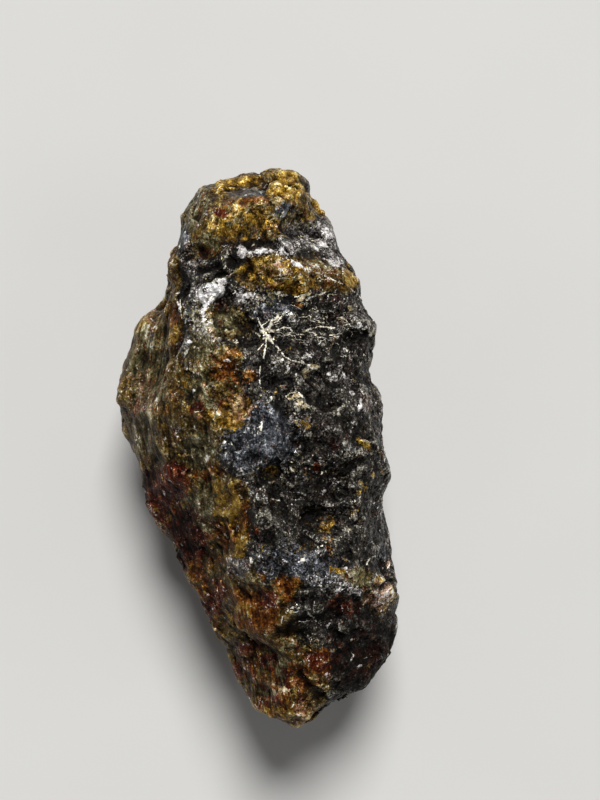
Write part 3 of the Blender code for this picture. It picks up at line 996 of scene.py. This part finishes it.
# Dirt and painted shade: soot (partly painted shade and shadow), the cracks between grains with their
# shade on the dark and the brassy side, the painted shade of the hollows (partly dirt), and how clean
# quartz and veins stay
SOOT_AND_SHADE_FROM = (0.35, 0.75)
SOOT_AND_SHADE_MOST = 0.82
DIRT_AND_SHADE_COLOUR = "090604"
DIRT_AND_SHADE_ROUGHNESS = 0.85
CRACK_WIDTH = 0.11
CRACK_SHADE = (0.5, 0.25)
HOLLOW_SHADE = (0.08, 0.40, 0.0, 0.6)
QUARTZ_FROM = (0.3, 0.7)
CLEANNESS = 0.7

# Shiny needles: the random numbers that make one, its metal and its roughness
SHINY_FROM = (0.80, 0.84)
SHINY_METAL = 0.9
SHINY_ROUGHNESS = 0.14

# How far the shading leans with each grain and needle, on the dark and the brassy side, and with
# each fleck, and the finest bump's strength and depth in mm
GRAIN_LEAN = (0.70, 0.40)
NEEDLE_LEAN = (0.75, 0.45)
FLECK_LEAN = 0.35
BUMP_STRENGTH = 0.6
BUMP_DEPTH = 0.35


def grain_fields(n, place):
    """Every random field that the ore's look is built from, by name."""
    stir = n.noise(place, 0.55, 2.0)["Color"]
    moved = n.vector("MULTIPLY_ADD", n.centred(stir), (1.5, 1.5, 1.5), place)
    swirl = n.noise(place, 0.14, 2.0)["Color"]
    swirled = n.vector("MULTIPLY_ADD", n.centred(swirl), (8.0, 8.0, 8.0), place)
    short = n.parts(n.vector("MULTIPLY", moved, (0.0, 0.09, 0.4)))
    along = {0: n.share("grain_line"), 1: short[1], 2: short[2]}
    along = n.add("ShaderNodeCombineXYZ", along).outputs[0]
    across = n.vector("MULTIPLY", moved, (0.2, 1.0, 0.8))
    cluster = n.cells(moved, 1 / CLUSTER_SIZE)["Color"]
    turned = {"Vector": moved, "Rotation": n.scaled(cluster, math.tau)}
    turned = n.add("ShaderNodeVectorRotate", turned, rotation_type="EULER_XYZ").outputs[0]
    needles = n.vector("MULTIPLY", turned, (1.0, 0.22, 1.0))
    grain = n.cells(moved, 1 / GRAIN_SIZE)["Color"]
    fleck = n.cells(place, 1 / FLECK_SIZE)["Color"]
    cloud = n.noise(swirled, 0.30, 5.0, 0.65)["Color"]
    tint = n.noise(swirled, 0.62, 4.0, 0.65)["Color"]
    return {
        "grain": grain,
        "cluster": cluster,
        "fleck": fleck,
        "cloud": cloud,
        "tint": tint,
        "needle": n.cells(needles, 1 / NEEDLE_SIZE)["Color"],
        "fibre": n.cells(along, 1 / FIBRE_SIZE)["Color"],
        "crack": n.cells(moved, 1 / GRAIN_SIZE, "DISTANCE_TO_EDGE")["Distance"],
        "fine": n.noise(place, 1.7, 4.0, 0.7)["Fac"],
        "streak": n.noise(along, 1.1, 5.0, 0.7)["Fac"],
        "band": n.noise(across, 1.0, 5.0, 0.7)["Fac"],
        "hair": n.noise(across, 0.55, 1.0, 0.5)["Fac"],
        "chances": (*n.parts(grain)[:3], *n.parts(cluster)[:3], n.parts(fleck)[1]),
        "clouds": (*n.parts(cloud)[:3], *n.parts(tint)[:3]),
    }


def grain_brightness(n, field, brassy, polished):
    """How bright each grain is, from 0 to 1: grainy on the dark side, softer and streaked on brass.

    Each field stands with its weight, and a weight's pair is for the dark and the brassy side, or
    for plain and striated, polished or even ore.
    """
    striated = n.share("striated")
    banded = n.share("banded")
    even = n.math("SUBTRACT", 1.0, n.math("MAXIMUM", striated, banded))
    calm = n.blend(striated, 1.0, 0.5)
    grainy = n.times(n.times(n.blend(brassy, 0.28, 0.18), calm), n.blend(polished, 1.0, 0.4))
    # The start is darker in the hollows: painted shade, partly dirt settled there
    return n.total(
        n.math("MULTIPLY_ADD", n.share("hollow"), -0.9, 0.47),
        (n.parts(field["grain"])[0], grainy),
        (n.parts(field["needle"])[0], n.times(n.blend(brassy, 0.44, 0.26), calm)),
        (n.parts(field["fibre"])[0], n.times(striated, 0.34)),
        (n.parts(field["cluster"])[1], 0.10),
        (n.parts(field["fleck"])[2], 0.20),
        (field["fine"], n.blend(even, 0.30, 0.70)),
        (field["streak"], n.times(striated, n.blend(polished, 1.1, 0.6))),
        (field["band"], n.times(banded, 1.2)),
        (n.parts(field["tint"])[1], 0.48),
        (n.parts(field["cloud"])[1], 0.50),
    )


def vein_mask(n, field):
    """Where the cream veins lie: the raised ones, broken by noise, and hair lines in banded ore."""
    hair = n.math("ABSOLUTE", n.math("SUBTRACT", field["hair"], 0.5))
    hair = n.times(n.step(hair, *HAIR_WIDTH), n.share("banded"))
    hair = n.total(n.times(hair, 0.72), (field["clouds"][1], 3.0))
    vein = n.total(n.times(n.share("vein"), 0.85), (field["fine"], 2.2), (field["clouds"][4], 1.2))
    vein = n.times(vein, n.step(n.share("vein"), *VEIN_FROM))
    return n.step(n.math("MAXIMUM", vein, hair), *MASK)


def laid_over(n, under, mask, name, bright):
    """Colour, metal and roughness once the named mineral lies over what is under it."""
    colour, metal, rough = under
    stops, metallic, roughness = LOOKS[name]
    colour = n.mix(mask, colour, n.ramp(bright, *zip(RAMP_PLACES, stops)))
    return colour, n.blend(mask, metal, metallic), n.blend(mask, rough, roughness)


def minerals(n, field, brassy, bright, veins):
    """Colour, metal and roughness of the grains, from the dark ground up to the veins."""
    crumbs = ((n.parts(field["fleck"])[0], 0.24), (field["fine"], 0.8))
    clouds = field["clouds"]
    stops, *finish = LOOKS["dark"]
    look = (n.ramp(bright, *zip(RAMP_PLACES, stops)), *finish)
    for turn, (name, pick, grainy, cloudy, on_brass, on_dark) in enumerate(LAYERS):
        share = n.math("ADD", n.share(name), n.blend(brassy, on_dark, on_brass))
        stirs = ((field["chances"][pick], grainy), (clouds[turn * 2 % len(clouds)], cloudy))
        look = laid_over(n, look, n.step(n.total(share, *stirs, *crumbs), *MASK), name, bright)
    return laid_over(n, look, veins, "vein", n.math("ADD", bright, VEIN_BRIGHTER))


def dirt_and_painted_shade(n, field, brassy, veins):
    """How much soot, the cracks between grains and the hollows darken each place.
    The hollows' darkening and much of the soot are painted shade.
    """
    soot = n.total(n.share("soot"), (field["clouds"][2], 1.0), (field["chances"][2], 0.3))
    soot = n.times(n.step(soot, *SOOT_AND_SHADE_FROM), SOOT_AND_SHADE_MOST)
    gap = n.blend(n.step(field["crack"], 0.0, CRACK_WIDTH), n.blend(brassy, *CRACK_SHADE), 0.0)
    # Hollows darken too: painted shade, partly dirt
    gap = n.math("MAXIMUM", gap, n.step(n.share("hollow"), *HOLLOW_SHADE))
    pale = n.math("MAXIMUM", n.step(n.share("quartz"), *QUARTZ_FROM), veins)
    clean_part = n.math("SUBTRACT", 1.0, n.times(pale, CLEANNESS))
    return n.times(n.math("MAXIMUM", soot, gap), clean_part)


def leaning_normal(n, field, brassy, polished):
    """The normal, leaned with each grain, fleck and needle, under a fine bump."""
    lean = n.times(n.blend(brassy, *GRAIN_LEAN), n.blend(polished, 1.0, 0.6))
    normal = n.vector("MULTIPLY", n.centred(field["grain"]), n.combined(lean))
    normal = n.vector("ADD", normal, n.scaled(n.centred(field["fleck"]), FLECK_LEAN))
    lean = n.combined(n.blend(brassy, *NEEDLE_LEAN))
    normal = n.vector("MULTIPLY_ADD", n.centred(field["needle"]), lean, normal)
    normal = n.vector("ADD", normal, n.add("ShaderNodeNewGeometry").outputs["Normal"])
    bump = {
        "Strength": BUMP_STRENGTH,
        "Distance": BUMP_DEPTH * MM,
        "Height": n.math("MULTIPLY_ADD", field["streak"], n.share("striated"), field["fine"]),
        "Normal": n.vector("NORMALIZE", normal),
    }
    return n.add("ShaderNodeBump", bump).outputs[0]


def ore_material():
    """Single grains of each mineral, each with its own brightness, lean and gloss."""
    material = bpy.data.materials.new("tarnished_ore_grains")
    n = Nodes(material)
    field = grain_fields(n, n.scaled(n.add("ShaderNodeTexCoord").outputs["Object"], 1 / MM))
    brassy = n.share("brassy")
    polished = n.share("polished")
    bright = grain_brightness(n, field, brassy, polished)
    veins = vein_mask(n, field)
    colour, metal, rough = minerals(n, field, brassy, bright, veins)
    # Soot, the cracks between grains, and painted shade in the hollows and shadowed patches
    dirt_and_shade = dirt_and_painted_shade(n, field, brassy, veins)

    shiny = n.math("SUBTRACT", n.blend(n.share("striated"), 1.0, 0.35), dirt_and_shade)
    shiny = n.times(n.step(n.parts(field["needle"])[1], *SHINY_FROM), shiny)
    metal = n.blend(n.times(shiny, 0.7), metal, SHINY_METAL)
    rough = n.blend(n.times(shiny, 0.85), rough, SHINY_ROUGHNESS)

    finish = {
        "Base Color": n.mix(dirt_and_shade, colour, hex_colour(DIRT_AND_SHADE_COLOUR)),
        "Metallic": n.times(metal, n.math("SUBTRACT", 1.0, dirt_and_shade)),
        "Roughness": n.blend(n.times(dirt_and_shade, 0.8), rough, DIRT_AND_SHADE_ROUGHNESS),
        "Normal": leaning_normal(n, field, brassy, polished),
        "IOR": 1.5,
        "Specular IOR Level": 0.07,
    }
    for name, value in finish.items():
        n.link(n.surface.inputs[name], value)
    return material


# The floor: half its breadth in metres, its mottling, its two shades and its roughness
FLOOR_HALF = 3.0
FLOOR_MOTTLE = 9.0
FLOOR_SHADES = ((0.0, "c2c1be"), (1.0, "cbcac7"))
FLOOR_ROUGHNESS = 0.7

# Lamps: the direction each shines from, how wide it looks in degrees, and its strength
LAMPS = {
    "key": ((0.10, 0.80, 0.90), 25.0, 4.4),
    "fill_right": ((0.90, -0.10, 0.58), 26.0, 0.30),
    "fill_left": ((-0.85, 0.20, 0.58), 24.0, 0.14),
}

# The surround's colour, its dim light on the stone, and how bright it shows as a pale wall
SURROUND = (0.82, 0.83, 0.84, 1.0)
SURROUND_LIGHT = 0.13
SURROUND_SHOWN = 0.75


def make_floor():
    """A plain pale floor, much larger than the view."""
    mesh = bpy.data.meshes.new("floor")
    sides = ((-1, -1), (1, -1), (1, 1), (-1, 1))
    corners = [(x * FLOOR_HALF, y * FLOOR_HALF, 0.0) for x, y in sides]
    mesh.from_pydata(corners, [], [(0, 1, 2, 3)])
    floor = new_object("floor", mesh)
    material = bpy.data.materials.new("pale_floor")
    n = Nodes(material)
    mottle = n.noise(n.add("ShaderNodeTexCoord").outputs["Object"], FLOOR_MOTTLE)["Fac"]
    n.link(n.surface.inputs["Base Color"], n.ramp(mottle, *FLOOR_SHADES))
    n.link(n.surface.inputs["Roughness"], FLOOR_ROUGHNESS)
    mesh.materials.append(material)


def soft_light(name, origin, breadth, strength):
    """A large distant lamp that shines from the given direction, as evenly on the floor as on the stone."""
    light = bpy.data.lights.new(name, "SUN")
    light.angle = math.radians(breadth)
    light.energy = strength
    lamp = new_object(name, light)
    lamp.location = origin
    lamp.rotation_euler = Vector(origin).to_track_quat("Z", "Y").to_euler()


def make_studio():
    """The lamps, and a surround that lights the stone only dimly, yet shows as a pale wall."""
    for name, lamp in LAMPS.items():
        soft_light(name, *lamp)
    world = bpy.data.worlds.new("surround")
    bpy.context.scene.world = world
    world.use_nodes = True
    tree = world.node_tree
    background = tree.nodes["Background"]
    background.inputs["Color"].default_value = SURROUND
    shown = tree.nodes.new("ShaderNodeMapRange")
    shown.inputs["To Min"].default_value = SURROUND_LIGHT
    shown.inputs["To Max"].default_value = SURROUND_SHOWN
    from_camera = tree.nodes.new("ShaderNodeLightPath").outputs["Is Camera Ray"]
    tree.links.new(from_camera, shown.inputs["Value"])
    tree.links.new(shown.outputs["Result"], background.inputs["Strength"])
    bpy.context.scene.view_settings.view_transform = "Standard"


def make_camera():
    lens = bpy.data.cameras.new("camera")
    lens.lens = LENS
    lens.sensor_width = SENSOR
    lens.clip_start = 0.01
    camera = new_object("camera", lens)
    camera.location = [c * MM for c in CAMERA_AT]
    bpy.context.scene.camera = camera


def main():
    # unseeded, noise vectors differ from run to run
    noise.seed_set(SEED)
    make_camera()
    surface = Surface(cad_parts[NODE].data)
    skin = make_skin(surface)
    skin.data.materials.clear()
    skin.data.materials.append(ore_material())
    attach(skin, "root")
    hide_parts(NODE)
    make_floor()
    make_studio()


main()
